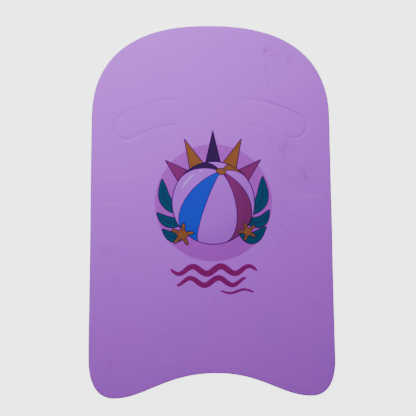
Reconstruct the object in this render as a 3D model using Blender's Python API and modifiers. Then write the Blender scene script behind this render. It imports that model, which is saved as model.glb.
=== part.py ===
"""A child's foam kickboard, lying flat with its printed face up.

The board is three foam sheets bonded face to face. A die has cut two bent hand slots through the stack
and left the foam of each slot in place as a push-out plug, which has the same three layers as the board.
A thin printed film is pressed flush into the upper face: a disc with a fan of pointed rays standing out of
its top, and three wavy strokes below it.

The origin is at the middle of the lower face. +X is the board's right, +Y its rounded nose and +Z up.
"""

import math

import bmesh
import bpy

# Driving dimensions, in metres.
LENGTH = 0.450
THICKNESS = 0.030
SHEETS = 3
GAP = 0.0003  # clearance between touching pieces
RIM_RADIUS = 0.0025  # rounding of the outer edge, above and below

# Right half of the outline, from the nose to the tail notch.
NOSE_Y = LENGTH / 2
NOSE_HANDLE = 0.0425
SHOULDER = (0.1438, 0.1135)
SHOULDER_HANDLE = 0.1055
HIP = (0.1493, -0.1775)
HIP_HANDLE = 0.039
LOBE = (0.1195, -LENGTH / 2)
LOBE_OUTER_HANDLE = 0.0135
LOBE_INNER_HANDLE = 0.037
NOTCH_Y = -0.1955
NOTCH_HANDLE = 0.059
SIDE_HANDLE = 0.030
OUTLINE_STEPS = 14  # straight steps on each stretch of the outline

# Hand slots: a band of constant width, bent along an arc about a centre low on the board.
SLOT_INNER_X = 0.032
SLOT_TOP_Y = 0.1215
SLOT_BEND_RADIUS = 0.143
SLOT_BEND_ANGLE = math.radians(28.6)
SLOT_HALF_WIDTH = 0.0155
SLOT_BEND_STEPS = 10
SLOT_END_STEPS = 14

# Printed film.
FILM_THICKNESS = 0.0003
BADGE_CENTRE = (0.0032, 0.0110)
BADGE_RADIUS = 0.0708
BADGE_STEPS = 72
RAY_COUNT = 5
RAY_SPACING = math.radians(24)
RAY_TIP_RADIUS = 0.0880  # of the middle ray, from the badge's centre
RAY_TIP_DROP = 0.0024  # how much shorter the next ray is, growing with the square of the count
RAY_ROOT_RADIUS = 0.0500
RAY_ROOT_HALF_WIDTH = 0.0095
WAVE_PITCH = 0.034
WAVE_TIP_HALF_WIDTH = 0.0006
WAVE_STEPS = 64
# Each stroke's name, the middle of its line, its length, its height from the middle, and its half width.
WAVES = (
    ("printed_wave_upper", (0.0030, -0.0702), 0.105, 0.0044, 0.0038),
    ("printed_wave_middle", (0.0000, -0.0842), 0.084, 0.0044, 0.0034),
    ("printed_wave_lower", (0.0310, -0.0962), 0.040, 0.0022, 0.0015),
)

FOAM_LILAC = (0.42, 0.22, 0.66, 1.0)
FOAM_LILAC_CORE = (0.46, 0.27, 0.70, 1.0)
FILM_PINK = (0.45, 0.15, 0.50, 1.0)
FILM_MAGENTA = (0.27, 0.02, 0.16, 1.0)


def clear_scene():
    for obj in list(bpy.data.objects):
        bpy.data.objects.remove(obj)


def make_collection(name):
    collection = bpy.data.collections.new(name)
    bpy.context.scene.collection.children.link(collection)
    return collection


def make_material(name, colour, roughness):
    material = bpy.data.materials.new(name)
    material.use_nodes = True
    shader = material.node_tree.nodes["Principled BSDF"]
    shader.inputs["Base Color"].default_value = colour
    shader.inputs["Roughness"].default_value = roughness
    shader.inputs["Metallic"].default_value = 0.0
    return material


def sheet_span(index):
    """Bottom and top height of one sheet, counted from below, with half a gap left at each bond."""
    pitch = THICKNESS / SHEETS
    low = index * pitch + (GAP / 2 if index > 0 else 0.0)
    high = (index + 1) * pitch - (GAP / 2 if index < SHEETS - 1 else 0.0)
    return low, high


def extruded(curve, name, low, high, collection, material):
    """An object that holds a closed flat curve, filled and extruded from low to high."""
    curve.dimensions = "2D"
    curve.fill_mode = "BOTH"
    curve.extrude = (high - low) / 2
    obj = bpy.data.objects.new(name, curve)
    obj.location.z = (low + high) / 2
    collection.objects.link(obj)
    if material:
        curve.materials.append(material)
    return obj


def as_mesh(obj):
    """Replaces a curve object by a welded mesh object in the same place, with flat caps as single faces."""
    bpy.context.view_layer.update()
    graph = bpy.context.evaluated_depsgraph_get()
    mesh = bpy.data.meshes.new_from_object(obj.evaluated_get(graph))
    matrix = obj.matrix_world.copy()
    name, collection = obj.name, obj.users_collection[0]
    bpy.data.objects.remove(obj)
    solid = bpy.data.objects.new(name, mesh)
    solid.matrix_world = matrix
    collection.objects.link(solid)
    bm = bmesh.new()
    bm.from_mesh(mesh)
    bmesh.ops.remove_doubles(bm, verts=bm.verts, dist=1e-6)
    bmesh.ops.dissolve_limit(bm, angle_limit=math.radians(0.05), verts=bm.verts, edges=bm.edges)
    bmesh.ops.recalc_face_normals(bm, faces=bm.faces)
    bm.to_mesh(mesh)
    bm.free()
    return solid


def outline_curve(name):
    """The closed outline: one Bezier curve through the nose, shoulders, hips, lobes and tail notch."""
    (sx, sy), (hx, hy), (lx, ly) = SHOULDER, HIP, LOBE
    side = math.hypot(hx - sx, hy - sy)
    down = ((hx - sx) / side, (hy - sy) / side)
    # Point, then its handle on the nose's side and its handle on the notch's side.
    right = [
        (SHOULDER, (sx - down[0] * SHOULDER_HANDLE, sy - down[1] * SHOULDER_HANDLE),
         (sx + down[0] * SIDE_HANDLE, sy + down[1] * SIDE_HANDLE)),
        (HIP, (hx - down[0] * SIDE_HANDLE, hy - down[1] * SIDE_HANDLE),
         (hx + down[0] * HIP_HANDLE, hy + down[1] * HIP_HANDLE)),
        (LOBE, (lx + LOBE_OUTER_HANDLE, ly), (lx - LOBE_INNER_HANDLE, ly)),
    ]
    nose = ((0.0, NOSE_Y), (-NOSE_HANDLE, NOSE_Y), (NOSE_HANDLE, NOSE_Y))
    notch = ((0.0, NOTCH_Y), (NOTCH_HANDLE, NOTCH_Y), (-NOTCH_HANDLE, NOTCH_Y))
    left = [tuple((-x, y) for x, y in (p, after, before)) for p, before, after in reversed(right)]
    knots = [nose] + right + [notch] + left

    curve = bpy.data.curves.new(name, "CURVE")
    curve.resolution_u = OUTLINE_STEPS
    spline = curve.splines.new("BEZIER")
    spline.bezier_points.add(len(knots) - 1)
    spline.use_cyclic_u = True
    for point, (place, before, after) in zip(spline.bezier_points, knots):
        point.handle_left_type = point.handle_right_type = "FREE"
        point.co = (*place, 0.0)
        point.handle_left = (*before, 0.0)
        point.handle_right = (*after, 0.0)
    return curve


def polygon_curve(name, points):
    curve = bpy.data.curves.new(name, "CURVE")
    spline = curve.splines.new("POLY")
    spline.points.add(len(points) - 1)
    spline.use_cyclic_u = True
    for point, (x, y) in zip(spline.points, points):
        point.co = (x, y, 0.0, 1.0)
    return curve


def arc(centre, radius, start, end, steps):
    """Points on an arc, its start left out. Angles are measured clockwise from +Y."""
    angles = [start + (end - start) * i / steps for i in range(1, steps + 1)]
    return [(centre[0] + radius * math.sin(a), centre[1] + radius * math.cos(a)) for a in angles]


def slot_outline(side, half_width):
    """A bent hand slot's outline. side is 1 for the right slot and -1 for the left."""
    bend_centre = (SLOT_INNER_X, SLOT_TOP_Y - SLOT_BEND_RADIUS)
    inner_end = (SLOT_INNER_X, SLOT_TOP_Y)
    outer_end = arc(bend_centre, SLOT_BEND_RADIUS, 0.0, SLOT_BEND_ANGLE, 1)[0]
    turn = SLOT_BEND_ANGLE
    points = arc(bend_centre, SLOT_BEND_RADIUS + half_width, 0.0, turn, SLOT_BEND_STEPS)
    points += arc(outer_end, half_width, turn, turn + math.pi, SLOT_END_STEPS)
    points += arc(bend_centre, SLOT_BEND_RADIUS - half_width, turn, 0.0, SLOT_BEND_STEPS)
    points += arc(inner_end, half_width, math.pi, 2 * math.pi, SLOT_END_STEPS)
    return [(side * x, y) for x, y in points]


def badge_outline(margin):
    """The disc with its fan of rays, grown by margin on every side. Angles are measured clockwise from +Y."""
    radius = BADGE_RADIUS + margin
    rays = []
    for i in range(RAY_COUNT):
        place = i - (RAY_COUNT - 1) / 2
        tip = RAY_TIP_RADIUS - RAY_TIP_DROP * place ** 2
        narrowing = RAY_ROOT_HALF_WIDTH / (tip - RAY_ROOT_RADIUS)
        half_angle = ((tip - BADGE_RADIUS) * narrowing + margin) / radius
        rays.append((RAY_SPACING * place, half_angle, tip + margin / narrowing))
    corners = []
    for middle, half_angle, tip in rays:
        corners += [(middle - half_angle, radius), (middle, tip), (middle + half_angle, radius)]
    for i in range(BADGE_STEPS):
        angle = 2 * math.pi * (i / BADGE_STEPS - 0.5)
        if all(abs(angle - middle) > half_angle + 0.02 for middle, half_angle, _ in rays):
            corners.append((angle, radius))
    corners.sort()
    return [(BADGE_CENTRE[0] + r * math.sin(a), BADGE_CENTRE[1] + r * math.cos(a)) for a, r in corners]


def wave_outline(middle, length, height, half_width, margin):
    """A wavy stroke that is widest in the middle and tapers to both tips, grown by margin on every side."""
    upper, lower = [], []
    for i in range(WAVE_STEPS + 1):
        t = i / WAVE_STEPS
        along = (t - 0.5) * (length + 2 * margin)
        rise = height * math.sin(2 * math.pi * along / WAVE_PITCH)
        slope = height * 2 * math.pi / WAVE_PITCH * math.cos(2 * math.pi * along / WAVE_PITCH)
        swell = math.sin(math.pi * t) ** 0.45
        half = WAVE_TIP_HALF_WIDTH + (half_width - WAVE_TIP_HALF_WIDTH) * swell + margin
        across = half / math.hypot(1.0, slope)
        x, y = middle[0] + along, middle[1] + rise
        upper.append((x - slope * across, y + across))
        lower.append((x + slope * across, y - across))
    return upper + lower[::-1]


def hide_cutter(obj):
    obj.hide_render = True
    obj.display_type = "WIRE"
    return obj


def make_cutters(collection):
    """The die's two slot blades, and the shallow pockets that the printed film is pressed into."""
    slots = []
    for side, name in ((-1, "left_slot_cutter"), (1, "right_slot_cutter")):
        curve = polygon_curve(name, slot_outline(side, SLOT_HALF_WIDTH))
        cutter = as_mesh(extruded(curve, name, -0.005, THICKNESS + 0.005, collection, None))
        slots.append(hide_cutter(cutter))
    low, high = THICKNESS - FILM_THICKNESS - GAP, THICKNESS + 0.005
    outlines = [("printed_badge", badge_outline(GAP))]
    outlines += [(name, wave_outline(*stroke, GAP)) for name, *stroke in WAVES]
    pockets = []
    for name, outline in outlines:
        curve = polygon_curve(name + "_cutter", outline)
        cutter = as_mesh(extruded(curve, name + "_cutter", low, high, collection, None))
        pockets.append(hide_cutter(cutter))
    return slots, pockets


def round_rim(obj, level):
    """Rounds the outline's edge at one height, by a Bevel that follows edge weights."""
    bm = bmesh.new()
    bm.from_mesh(obj.data)
    weight = bm.edges.layers.float.new("bevel_weight_edge")
    for edge in bm.edges:
        heights = [vert.co.z for vert in edge.verts]
        turns = edge.calc_face_angle(0.0) > math.radians(45)
        if turns and all(abs(height - level) < 1e-5 for height in heights):
            edge[weight] = 1.0
    bm.to_mesh(obj.data)
    bm.free()
    bevel = obj.modifiers.new("rim rounding", "BEVEL")
    bevel.limit_method = "WEIGHT"
    bevel.width = RIM_RADIUS
    bevel.segments = 3


def cut(obj, cutter):
    boolean = obj.modifiers.new(cutter.name, "BOOLEAN")
    boolean.operation = "DIFFERENCE"
    boolean.solver = "EXACT"
    boolean.object = cutter


def shade(obj):
    obj.data.shade_smooth()
    obj.data.set_sharp_from_angle(angle=math.radians(40))


def make_board(collection, slots, pockets, foam, core_foam):
    """The three bonded sheets. The outer two have a rounded rim, and the top one the film's pockets."""
    sheets = (("bottom_sheet", foam), ("core_sheet", core_foam), ("top_sheet", foam))
    for index, (name, material) in enumerate(sheets):
        low, high = sheet_span(index)
        sheet = as_mesh(extruded(outline_curve(name), name, low, high, collection, material))
        half = (high - low) / 2
        if name == "bottom_sheet":
            round_rim(sheet, -half)
        if name == "top_sheet":
            round_rim(sheet, half)
        shade(sheet)
        for cutter in slots + (pockets if name == "top_sheet" else []):
            cut(sheet, cutter)


def make_plugs(collection, foam, core_foam):
    """The foam left in each hand slot, as three bonded layers under an empty at the slot's middle."""
    layers = (("bottom", foam), ("core", core_foam), ("top", foam))
    for side, word in ((-1, "left"), (1, "right")):
        holder = bpy.data.objects.new(word + "_plug", None)
        collection.objects.link(holder)
        half_turn = SLOT_BEND_ANGLE / 2
        holder.location = (
            side * (SLOT_INNER_X + SLOT_BEND_RADIUS * math.sin(half_turn)),
            SLOT_TOP_Y - SLOT_BEND_RADIUS * (1 - math.cos(half_turn)),
            0.0,
        )
        bpy.context.view_layer.update()
        for index, (layer, material) in enumerate(layers):
            name = f"{word}_plug_{layer}"
            curve = polygon_curve(name, slot_outline(side, SLOT_HALF_WIDTH - GAP))
            plug = as_mesh(extruded(curve, name, *sheet_span(index), collection, material))
            shade(plug)
            plug.parent = holder
            plug.matrix_parent_inverse = holder.matrix_world.inverted()


def make_film(collection, pink, magenta):
    """The printed badge and the three wavy strokes, flush with the upper face."""
    low, high = THICKNESS - FILM_THICKNESS, THICKNESS
    curve = polygon_curve("printed_badge", badge_outline(0.0))
    as_mesh(extruded(curve, "printed_badge", low, high, collection, pink))
    for name, *stroke in WAVES:
        curve = polygon_curve(name, wave_outline(*stroke, 0.0))
        as_mesh(extruded(curve, name, low, high, collection, magenta))


def main():
    clear_scene()
    parts = make_collection("kickboard")
    cutters = make_collection("cutters")
    foam = make_material("foam skin", FOAM_LILAC, 0.60)
    core_foam = make_material("foam core", FOAM_LILAC_CORE, 0.75)
    pink = make_material("pink film", FILM_PINK, 0.45)
    magenta = make_material("magenta film", FILM_MAGENTA, 0.45)
    slots, pockets = make_cutters(cutters)
    make_board(parts, slots, pockets, foam, core_foam)
    make_plugs(parts, foam, core_foam)
    make_film(parts, pink, magenta)


main()
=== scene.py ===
"""The looks of a child's foam kickboard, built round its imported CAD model.

Each foam sheet and plug layer of the CAD model is replaced by a finer mesh in the same place, with soft
waves, creases, dents and pressed edges. The printed film is a stack of thin flat pieces that follow the
foam. Lengths are in metres, and x, y and z are the model's own axes.
"""

import math

import bpy
import numpy as np
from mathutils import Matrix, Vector
from mathutils.geometry import delaunay_2d_cdt
from mathutils.kdtree import KDTree


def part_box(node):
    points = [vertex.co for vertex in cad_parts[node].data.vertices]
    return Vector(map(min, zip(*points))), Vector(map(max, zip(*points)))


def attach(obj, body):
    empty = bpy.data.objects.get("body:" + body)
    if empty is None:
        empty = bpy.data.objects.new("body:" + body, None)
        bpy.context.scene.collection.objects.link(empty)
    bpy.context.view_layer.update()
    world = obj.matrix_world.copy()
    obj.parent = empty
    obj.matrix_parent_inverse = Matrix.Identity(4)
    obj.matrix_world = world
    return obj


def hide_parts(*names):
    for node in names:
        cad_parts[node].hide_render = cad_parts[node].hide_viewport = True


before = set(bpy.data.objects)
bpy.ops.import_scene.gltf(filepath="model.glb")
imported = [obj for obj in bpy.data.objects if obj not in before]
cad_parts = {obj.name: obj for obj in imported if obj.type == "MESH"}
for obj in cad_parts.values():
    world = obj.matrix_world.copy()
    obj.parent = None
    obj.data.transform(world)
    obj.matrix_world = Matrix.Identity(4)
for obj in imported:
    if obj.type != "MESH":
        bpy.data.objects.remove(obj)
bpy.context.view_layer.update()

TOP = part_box("top_sheet")[1].z
HALF_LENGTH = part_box("top_sheet")[1].y
MM = 0.001

# Right half of the outline, as in the CAD model.
NOSE_HANDLE = 0.0425
SHOULDER = (0.1438, 0.1135)
SHOULDER_HANDLE = 0.1055
HIP = (0.1493, -0.1775)
HIP_HANDLE = 0.039
LOBE = (0.1195, -HALF_LENGTH)
LOBE_OUTER_HANDLE = 0.0135
LOBE_INNER_HANDLE = 0.037
NOTCH_Y = -0.1955
NOTCH_HANDLE = 0.059
SIDE_HANDLE = 0.030

# Hand slots, as in the CAD model.
SLOT_INNER_X = 0.032
SLOT_TOP_Y = 0.1215
SLOT_BEND_RADIUS = 0.143
SLOT_BEND_ANGLE = math.radians(28.6)
SLOT_HALF_WIDTH = 0.0155

# Print, as in the CAD model.
BADGE = (0.0032, 0.0110)
BADGE_RADIUS = 0.0708
RAY_SPACING = 24  # degrees
RAY_TIP_RADIUS = 0.0880
RAY_TIP_DROP = 0.0024
RAY_ROOT_RADIUS = 0.0500
RAY_ROOT_HALF_WIDTH = 0.0095
WAVE_PITCH = 0.034
WAVE_TIP_HALF_WIDTH = 0.0006
WAVES = (  # name, middle, length, height and half width
    ("wave_upper", (0.0030, -0.0702), 0.105, 0.0044, 0.0038),
    ("wave_middle", (0.0000, -0.0842), 0.084, 0.0044, 0.0034),
    ("wave_lower", (0.0310, -0.0962), 0.040, 0.0022, 0.0015),
)

# How finely the meshes are divided.
OUTLINE_STEP = 1.5 * MM
SLOT_STEP = 0.9 * MM
NET_STEP = 2.3 * MM  # in the faces that are seen
PLAIN_NET_STEP = 9 * MM  # in the faces between the layers
NET_MARGIN = 0.62  # share of its step that a net keeps clear of the outlines
EXTRA_MARGIN = 0.55  # and of these extra points
NEAR_RINGS = (0.12 * MM, 0.7 * MM, 1.5 * MM, 2.6 * MM)  # inside a fine face's edges
CREASE_ROWS = (-2.6 * MM, -1.2 * MM, -0.3 * MM, 0.4 * MM, 1.0 * MM, 1.7 * MM)  # beside each crease
CREASE_ROW_STEP = 1.5 * MM
DENT_RINGS = ((0.0, 1), (0.5, 6), (1.0, 12), (1.6, 16))  # share of a dent's radius, and number of points
ROW_MARGIN = 0.8 * MM  # between the near rings and the rest
RIM_SEGMENTS = 6
SEAM_SEGMENTS = 3
WALL_STEPS = 5
FILM_STEP = 3.2 * MM
SMALL_FILM_STEP = 2 * MM
LINE_STEP = 0.8 * MM  # along the print's lines
ARC_STEP = 0.4 * MM
CURVE_POINTS = 60  # along one side of a gore

# Edges and gaps of the foam layers.
RIM_RADIUS = 1.4 * MM
LIP_RADIUS = 0.05 * MM
SEAM_RADIUS = 0.3 * MM
FACE_DROP = 0.15 * MM  # the foam's face is this far below the CAD face, which leaves room for the film
CUT_GAP = 0.01 * MM  # between a plug and its slot, nearly closed
CUT_OPENING = 0.10 * MM  # more gap where the right plug's upper outer edge has come away
CORE_SQUEEZE = 0.03 * MM  # the plugs' core is this much wider than its slot, so no light comes through
WALL_DRAW = 0.30 * MM  # how far the outer wall is drawn in at half height
WALL_UNEVEN = 0.06 * MM
PLUG_DROP = 0.01 * MM  # the plugs' faces sit this far below the board's
PLUG_TILT = {-1: 0.02 * MM, 1: 0.10 * MM}  # more at the left and the right plug's upper outer edge

# Print layers.
FILM_THICKNESS = 0.03 * MM
LAYER = 0.035 * MM  # one film's height above the next
OUTLINE_WIDTH = 0.9 * MM  # of the dark lines round the rays, leaves and starfish
FINE_LINE = 0.6 * MM
TAPER_TIP = 0.06  # share of a tapered line's width that is left at its tip
TAPER_POWER = 0.7
SHARP_ANGLE = math.radians(40)
BALL_RADIUS = 0.0500


# ---- flat shapes


def bezier(a, b, c, d, steps=240):
    t = np.linspace(0, 1, steps, endpoint=False)[:, None]
    a, b, c, d = (np.array(p, float) for p in (a, b, c, d))
    return (1 - t) ** 3 * a + 3 * (1 - t) ** 2 * t * b + 3 * (1 - t) * t ** 2 * c + t ** 3 * d


def resample(points, step, closed=True):
    """Evenly spaced points along a line."""
    points = np.array(points, float)
    if closed:
        points = np.vstack([points, points[:1]])
    lengths = np.concatenate([[0], np.cumsum(np.linalg.norm(np.diff(points, axis=0), axis=1))])
    count = max(3, int(round(lengths[-1] / step)))
    places = np.linspace(0, lengths[-1], count + (0 if closed else 1), endpoint=not closed)
    return np.column_stack([np.interp(places, lengths, points[:, k]) for k in range(2)])


def left_of(along):
    """Unit vectors to the left of these directions."""
    along = along / np.maximum(np.linalg.norm(along, axis=1), 1e-12)[:, None]
    return np.column_stack([-along[:, 1], along[:, 0]])


def outward(points):
    """Unit normals that point out of a closed clockwise loop."""
    return left_of(np.roll(points, -1, axis=0) - np.roll(points, 1, axis=0))


def board_outline():
    (sx, sy), (hx, hy), (lx, ly) = SHOULDER, HIP, LOBE
    side = math.hypot(hx - sx, hy - sy)
    dx, dy = (hx - sx) / side, (hy - sy) / side
    knots = [
        ((0.0, HALF_LENGTH), None, (NOSE_HANDLE, HALF_LENGTH)),
        (SHOULDER, (sx - dx * SHOULDER_HANDLE, sy - dy * SHOULDER_HANDLE),
         (sx + dx * SIDE_HANDLE, sy + dy * SIDE_HANDLE)),
        (HIP, (hx - dx * SIDE_HANDLE, hy - dy * SIDE_HANDLE),
         (hx + dx * HIP_HANDLE, hy + dy * HIP_HANDLE)),
        (LOBE, (lx + LOBE_OUTER_HANDLE, ly), (lx - LOBE_INNER_HANDLE, ly)),
        ((0.0, NOTCH_Y), (NOTCH_HANDLE, NOTCH_Y), None),
    ]
    stretches = [bezier(a[0], a[2], b[1], b[0]) for a, b in zip(knots, knots[1:])]
    right = np.vstack(stretches + [np.array([[0.0, NOTCH_Y]])])
    left = right[-2:0:-1] * (-1, 1)
    return resample(np.vstack([right, left]), OUTLINE_STEP)


def arc(centre, radius, start, end):
    """Points on an arc, its end left out. Angles are measured clockwise from +Y."""
    count = max(2, int(abs(end - start) * radius / ARC_STEP))
    a = np.linspace(start, end, count, endpoint=False)
    return np.column_stack([centre[0] + radius * np.sin(a), centre[1] + radius * np.cos(a)])


def slot_outline(side):
    centre = (SLOT_INNER_X, SLOT_TOP_Y - SLOT_BEND_RADIUS)
    turn = SLOT_BEND_ANGLE
    outer = (centre[0] + SLOT_BEND_RADIUS * math.sin(turn), centre[1] + SLOT_BEND_RADIUS * math.cos(turn))
    points = np.vstack([
        arc(centre, SLOT_BEND_RADIUS + SLOT_HALF_WIDTH, 0.0, turn),
        arc(outer, SLOT_HALF_WIDTH, turn, turn + math.pi),
        arc(centre, SLOT_BEND_RADIUS - SLOT_HALF_WIDTH, turn, 0.0),
        arc((SLOT_INNER_X, SLOT_TOP_Y), SLOT_HALF_WIDTH, math.pi, 2 * math.pi),
    ])
    if side < 0:
        points = points[::-1] * (-1, 1)
    return resample(points, SLOT_STEP)


def slot_distance(x, y, side):
    """Distance from a slot's edge, negative inside it, and the share of its length from its inner end."""
    dx, dy = side * x - SLOT_INNER_X, y - (SLOT_TOP_Y - SLOT_BEND_RADIUS)
    angle = np.clip(np.arctan2(dx, dy), 0.0, SLOT_BEND_ANGLE)
    gap = np.hypot(dx - SLOT_BEND_RADIUS * np.sin(angle), dy - SLOT_BEND_RADIUS * np.cos(angle))
    return gap - SLOT_HALF_WIDTH, angle / SLOT_BEND_ANGLE


def opened_cut(x, y):
    """1 along the right slot's upper outer edge, where the cut has come open, and 0 elsewhere."""
    upward = np.hypot(x - SLOT_INNER_X, y - SLOT_TOP_Y + SLOT_BEND_RADIUS) - SLOT_BEND_RADIUS
    along = slot_distance(x, y, 1)[1]
    return step_up(along, 0.15, 0.60) * step_up(upward, 0.75 * SLOT_HALF_WIDTH, 0.97 * SLOT_HALF_WIDTH)


def inside(loops, x, y):
    """Whether points are inside an odd number of the loops."""
    found = np.zeros(x.shape, bool)
    for loop in loops:
        for (ax, ay), (bx, by) in zip(loop, np.roll(loop, -1, axis=0)):
            if ay != by:
                found ^= ((ay > y) != (by > y)) & (x < (bx - ax) * (y - ay) / (by - ay) + ax)
    return found


def nearest(points, x, y):
    """Distance from each place to the nearest of the points."""
    tree = KDTree(len(points))
    for i, (px, py) in enumerate(points):
        tree.insert((px / MM, py / MM, 0.0), i)
    tree.balance()
    return np.array([tree.find((px / MM, py / MM, 0.0))[2] for px, py in zip(x, y)]) * MM


# ---- the foam's surface

# How the soft board is out of true: a place near its edge, and the shift there in millimetres.
SHIFTS = (
    (0.000, -0.200, 1.2, 0.0),
    (-0.055, -0.207, 0.2, -0.5),
    (0.060, -0.207, 0.3, 0.8),
    (0.112, -0.222, 0.1, 1.2),
    (-0.148, -0.160, -0.8, 0.0),
    (-0.147, -0.095, -0.3, 0.0),
    (-0.143, 0.115, 0.4, 0.0),
    (0.140, 0.130, 0.7, 0.0),
    (0.145, 0.060, 0.5, 0.0),
    (0.146, -0.015, 0.45, 0.0),
    (-0.060, 0.215, 0.0, 1.1),
    (-0.105, 0.180, -0.3, 0.7),
    (0.000, 0.225, 0.0, 0.25),
    (-0.065, 0.118, 0.0, 0.7),
    (0.070, 0.118, 0.0, -0.5),
)
SHIFT_REACH = 0.042


def bell(x, y, cx, cy, square):
    """1 at a place, falling away round it. square is the distance at which it has fallen to 1/e, squared."""
    return np.exp(-((x - cx) ** 2 + (y - cy) ** 2) / square)


def shifted(flat):
    """Points in the plane, moved with the board's soft shape."""
    moved = np.array(flat, float)
    for x, y, dx, dy in SHIFTS:
        share = bell(flat[:, 0], flat[:, 1], x, y, SHIFT_REACH ** 2)
        moved += share[:, None] * (dx * MM, dy * MM)
    return moved


def lattice(i, j, seed):
    n = (i * 374761393 + j * 668265263 + seed * 1442695041) & 0xFFFFFFFF
    n = ((n ^ (n >> 13)) * 1274126177) & 0xFFFFFFFF
    return ((n ^ (n >> 16)) & 0xFFFF) / 32768.0 - 1.0


def noise(x, y, size, seed):
    """Smooth noise from -1 to 1, with features of about this size."""
    u, v = x / size + 512.0, y / size + 512.0
    i, j = np.floor(u).astype(np.int64), np.floor(v).astype(np.int64)
    u, v = u - i, v - j
    u, v = u * u * u * (u * (u * 6 - 15) + 10), v * v * v * (v * (v * 6 - 15) + 10)
    low = lattice(i, j, seed) * (1 - u) + lattice(i + 1, j, seed) * u
    high = lattice(i, j + 1, seed) * (1 - u) + lattice(i + 1, j + 1, seed) * u
    return low * (1 - v) + high * v


def step_up(value, low, high):
    t = np.clip((value - low) / (high - low), 0, 1)
    return t * t * (3 - 2 * t)


def waves(x, y, rows, start=0.0):
    """start plus noise for each row of height, size of the features, and seed."""
    return sum((height * noise(x, y, size, seed) for height, size, seed in rows), start)


# Pressed marks in the upper face: where, radius and depth.
DENTS = (
    (0.0670, 0.1941, 1.5 * MM, 0.22 * MM),
    (0.0668, 0.1752, 1.7 * MM, 0.28 * MM),
    (0.0708, 0.1560, 1.5 * MM, 0.22 * MM),
    (0.0020, -0.1045, 1.5 * MM, 0.28 * MM),
    (-0.1190, -0.0400, 1.6 * MM, 0.12 * MM),
    (-0.1165, -0.0890, 1.8 * MM, 0.11 * MM),
    (0.1020, -0.0060, 1.7 * MM, 0.11 * MM),
    (0.0930, -0.0790, 1.5 * MM, 0.10 * MM),
    (-0.0850, 0.0580, 1.6 * MM, 0.11 * MM),
    (-0.0380, 0.1930, 1.6 * MM, 0.10 * MM),
    (-0.1230, -0.1840, 2.2 * MM, 0.12 * MM),
)
# Fine creases across the upper face: ends, height, and the share of the length at each end that fades out.
CREASES = (
    ((-0.144, 0.0398), (0.144, 0.0455), 0.080 * MM, 0.06),
    ((-0.144, 0.0094), (0.144, 0.0190), 0.095 * MM, 0.06),
    ((-0.144, -0.0235), (-0.070, -0.0225), 0.030 * MM, 0.35),
    ((0.100, -0.1290), (0.138, -0.1300), 0.060 * MM, 0.20),
    ((0.098, -0.1355), (0.116, -0.1360), 0.040 * MM, 0.30),
    ((0.080, 0.1010), (0.092, 0.0880), 0.030 * MM, 0.40),
)
CREASE_STEEP = 1.2 * MM  # a crease's width above its line
CREASE_SOFT = 4.0 * MM  # and below
# Painted highlight along the creases: its width, and its strength.
CREASE_HIGHLIGHT_WIDTH = 1.4 * MM
CREASE_PAINTED_HIGHLIGHT = 0.60  # painted highlight: how much paler a crease of 0.1 mm makes the foam
CREASE_WANDER = ((0.5 * MM, 0.030, 7),)
CREASE_BREAKS = ((0.35, 0.018, 8),)
CREASE_MEAN = 0.65
DENT_FALL = 0.6  # a dent's width to its radius, squared
GROOVE_DEPTH = 0.520 * MM  # pressed beside the slots' cuts
GROOVE_WIDTH = 1.6 * MM
UNDER_GROOVE_SHARE = 0.6
# The press at a cut's inner end, and what is added past there and at the outer end.
PRESS_ALONG = (0.35, 0.65, 0.50)
PRESS_MEAN = 0.72
PRESS_WAVES = ((0.45, 0.026, 41),)
PRINT_CALM = 0.80  # share of the fine relief that the print's heat press has flattened
BADGE_FADE = (0.088, 0.100)  # where the calm ends round the badge
STROKES_CENTRE = (0.003, -0.082)
STROKES_HALF_SIZE = (0.052, 0.020)
STROKES_FADE = 0.010
# Waves of the faces: height, size of their features, and seed.
FACE_WAVES = ((0.16 * MM, 0.110, 1), (0.05 * MM, 0.034, 2))
FACE_GRAIN = ((0.018 * MM, 0.012, 3), (0.006 * MM, 0.005, 4))
UNDER_WAVES = ((0.10 * MM, 0.120, 11), (0.03 * MM, 0.030, 12))
UNDER_GRAIN = ((0.012 * MM, 0.008, 13),)
# How the faces fall away at the outline and the cuts: depth, and how far in.
FACE_EDGE = (0.14 * MM, 2.5 * MM)
UNDER_EDGE = (0.25 * MM, 3.5 * MM)
CUT_EDGE = (0.02 * MM, 3.0 * MM)
RELIEF_DROP = 0.22 * MM  # keeps the upper face's high points inside the CAD model's box
PRINT_EDGE_DISTANCE = 0.050  # the print lies further in than this

OUTLINE = board_outline()
SLOTS = {side: slot_outline(side) for side in (-1, 1)}


def under_print(x, y):
    """1 under the badge and the strokes, fading to 0 just outside them."""
    badge = 1 - step_up(np.hypot(x - BADGE[0], y - BADGE[1]), *BADGE_FADE)
    past_x = np.abs(x - STROKES_CENTRE[0]) - STROKES_HALF_SIZE[0]
    past_y = np.abs(y - STROKES_CENTRE[1]) - STROKES_HALF_SIZE[1]
    return np.maximum(badge, 1 - step_up(np.maximum(past_x, past_y), 0.0, STROKES_FADE))


def cut_press(x, y, side):
    """How strongly the face is pressed in beside a cut."""
    along = slot_distance(x, y, side)[1]
    uneven = np.clip(waves(x, y, PRESS_WAVES, PRESS_MEAN), 0.2, 1.0)
    inner, middle, outer = PRESS_ALONG
    return uneven * (inner + middle * step_up(along, 0.0, 0.15) + outer * step_up(along, 0.80, 1.0))


def crease(x, y, steep, soft):
    """Height of the creases, with these widths above and below each crease's line."""
    z = np.zeros(x.shape)
    for (ax, ay), (bx, by), height, fade in CREASES:
        length = math.hypot(bx - ax, by - ay)
        ux, uy = (bx - ax) / length, (by - ay) / length
        along = ((x - ax) * ux + (y - ay) * uy) / length
        across = waves(x, y, CREASE_WANDER, (y - ay) * ux - (x - ax) * uy)
        ends = step_up(along, 0, fade) * step_up(1 - along, 0, fade)
        broken = waves(x, y, CREASE_BREAKS, CREASE_MEAN)
        z = z + height * ends * broken * np.exp(-(across / np.where(across > 0, steep, soft)) ** 2)
    return z


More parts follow.
